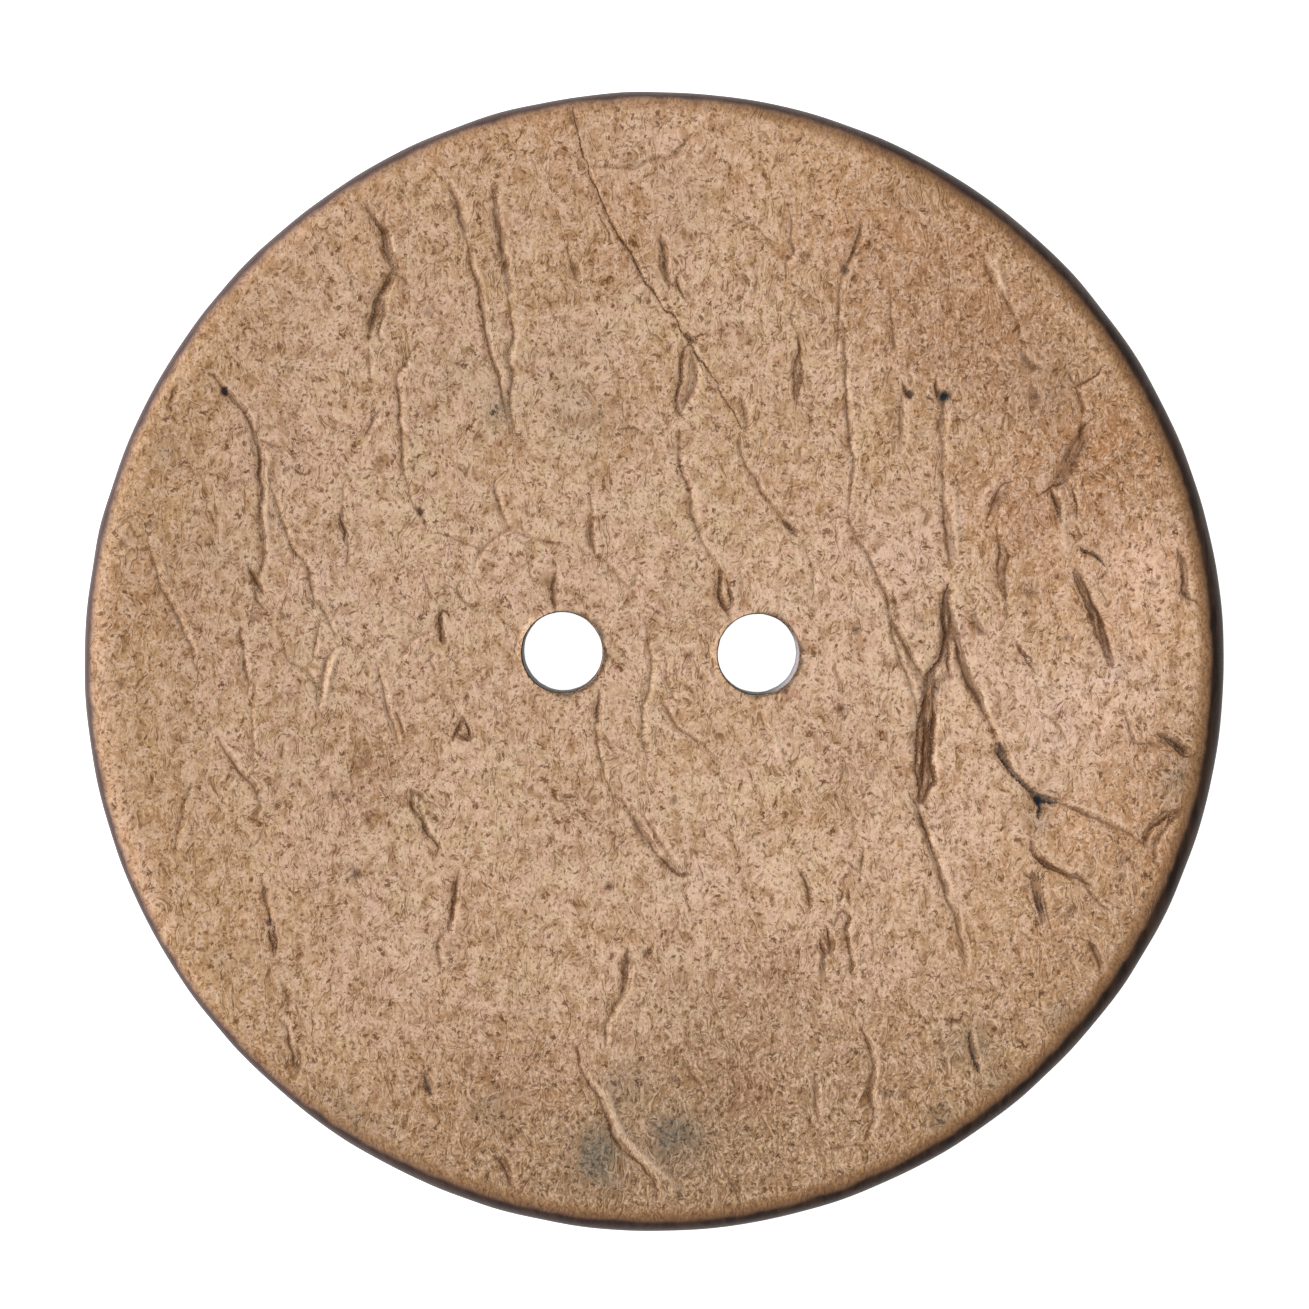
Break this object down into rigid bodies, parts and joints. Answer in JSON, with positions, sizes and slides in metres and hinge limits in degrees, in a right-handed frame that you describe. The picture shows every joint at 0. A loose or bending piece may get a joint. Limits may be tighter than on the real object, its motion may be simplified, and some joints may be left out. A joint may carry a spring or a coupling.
{
  "type": "sew on button",
  "caption": "Large round coconut-shell button, hollow front, ground flat back, with a pair of drilled sewing holes to stitch it to a coat, bag or cushion.",
  "frame": {"origin": "centre of the round outline, at the height of the ground flat on the back", "axes": "+Z out of the hollow front face, +X along the line of the sewing holes, +Y towards the upper side of the button"},
  "size_m": [0.0508, 0.0508, 0.0054],
  "materials": {
    "coconut_shell": "satin polished, speckled and veined"
  },
  "bodies": {
    "root": {"button_disc": "coconut_shell"}
  },
  "joints": []
}
